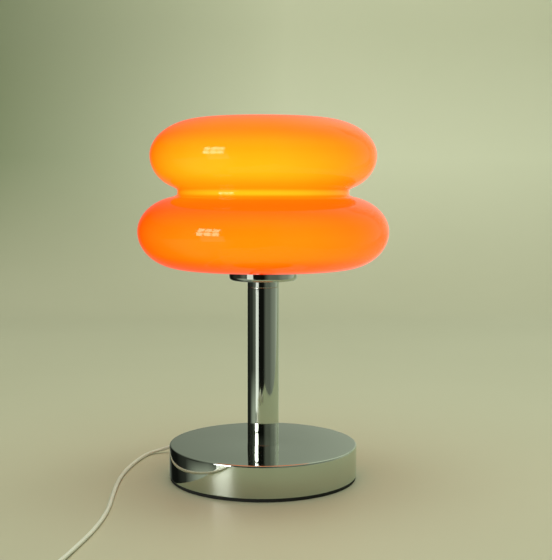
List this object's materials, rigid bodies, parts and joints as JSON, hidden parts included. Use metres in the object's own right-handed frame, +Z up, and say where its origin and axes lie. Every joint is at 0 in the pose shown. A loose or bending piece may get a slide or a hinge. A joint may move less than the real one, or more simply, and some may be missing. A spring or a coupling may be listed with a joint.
{
  "type": "table lamp",
  "caption": "Table lamp with a lit two-lobed orange glass shade on a slim chrome stem and a low round chrome base, with a thin white cord.",
  "frame": {"origin": "centre of the foot pad's underside", "axes": "+Z up along the stem, -Y towards the front; the cord leaves at the back left"},
  "size_m": [0.2342, 0.3963, 0.286],
  "materials": {
    "black_foam": "closed-cell foam foot",
    "chrome": "polished chrome plate",
    "zinc_steel": "zinc plated steel",
    "cast_iron": "raw casting",
    "black_plastic": "moulded",
    "white_plastic": "moulded",
    "cord_white": "soft PVC jacket",
    "brass": "bright",
    "clear_rubber": "translucent silicone",
    "orange_glass": "blown orange glass, lit from inside",
    "ceramic": "steatite",
    "wire_red": "wire insulation",
    "wire_black": "wire insulation",
    "nickel": "nickel plate",
    "bulb_white": "moulded",
    "board_white": "white solder mask on aluminium",
    "led_yellow": "phosphor",
    "opal": "opal diffuser, lit",
    "tie_black": "hook and loop strap"
  },
  "bodies": {
    "lamp": {"foot_pad": "black_foam", "base_cover": "chrome", "bottom_plate": "zinc_steel", "base_weight": "cast_iron", "plate_screws": "zinc_steel", "clamp_strap": "black_plastic", "clamp_screws": "zinc_steel", "cord_bushing": "white_plastic", "cord_inner": "cord_white", "threaded_rod": "zinc_steel", "flat_washer": "zinc_steel", "lock_washer": "zinc_steel", "stem_nut": "zinc_steel", "gallery_nut": "brass", "stem_tube": "chrome", "lower_bush": "black_plastic", "stem_collar": "chrome", "gallery_cup": "chrome", "shade_gasket": "clear_rubber", "set_screws": "zinc_steel", "holder_cap": "black_plastic", "holder_sleeve": "black_plastic", "holder_core": "ceramic", "terminal_screws": "brass", "screw_shell": "brass", "centre_contact": "brass", "wire_positive": "wire_red", "wire_negative": "wire_black", "cord": "cord_white", "cord_link": "cord_white", "cord_tail": "cord_white", "cord_coil": "cord_white", "coil_tie": "tie_black", "switch_lower_shell": "white_plastic", "switch_upper_shell": "white_plastic", "switch_screws": "zinc_steel", "switch_contacts": "brass", "plug_relief": "white_plastic", "plug_body": "white_plastic", "plug_shell": "nickel", "plug_tongue": "white_plastic", "plug_contacts": "brass"},
    "shade": {"glass_shade": "orange_glass"},
    "bulb_lift": {"bulb_tip": "nickel"},
    "bulb": {"bulb_insulator": "black_plastic", "bulb_cap": "nickel", "bulb_housing": "bulb_white", "led_board": "board_white", "led_chips": "led_yellow", "bulb_globe": "opal"},
    "rocker": {"switch_rocker": "white_plastic"}
  },
  "joints": [
    {"name": "shade_lift", "type": "slide", "parent": "lamp", "child": "shade", "axis": [0, 0, 1], "range_m": [0, 0.1]},
    {"name": "bulb_rise", "type": "slide", "parent": "lamp", "child": "bulb_lift", "axis": [0, 0, 1], "range_m": [0, 0.0142]},
    {"name": "bulb_turn", "type": "hinge", "parent": "bulb_lift", "child": "bulb", "pos_m": [0, 0, 0.2], "axis": [0, 0, 1], "range_deg": [0, 1800]},
    {"name": "switch_rocker_tilt", "type": "hinge", "parent": "lamp", "child": "rocker", "pos_m": [-0.1265, -0.252, 0.0094], "axis": [-1, 0, 0], "range_deg": [0, 14]}
  ],
  "couplings": [
    {"joint": "bulb_rise", "follows": "bulb_turn", "m_per_rad": 0.00044882}
  ]
}
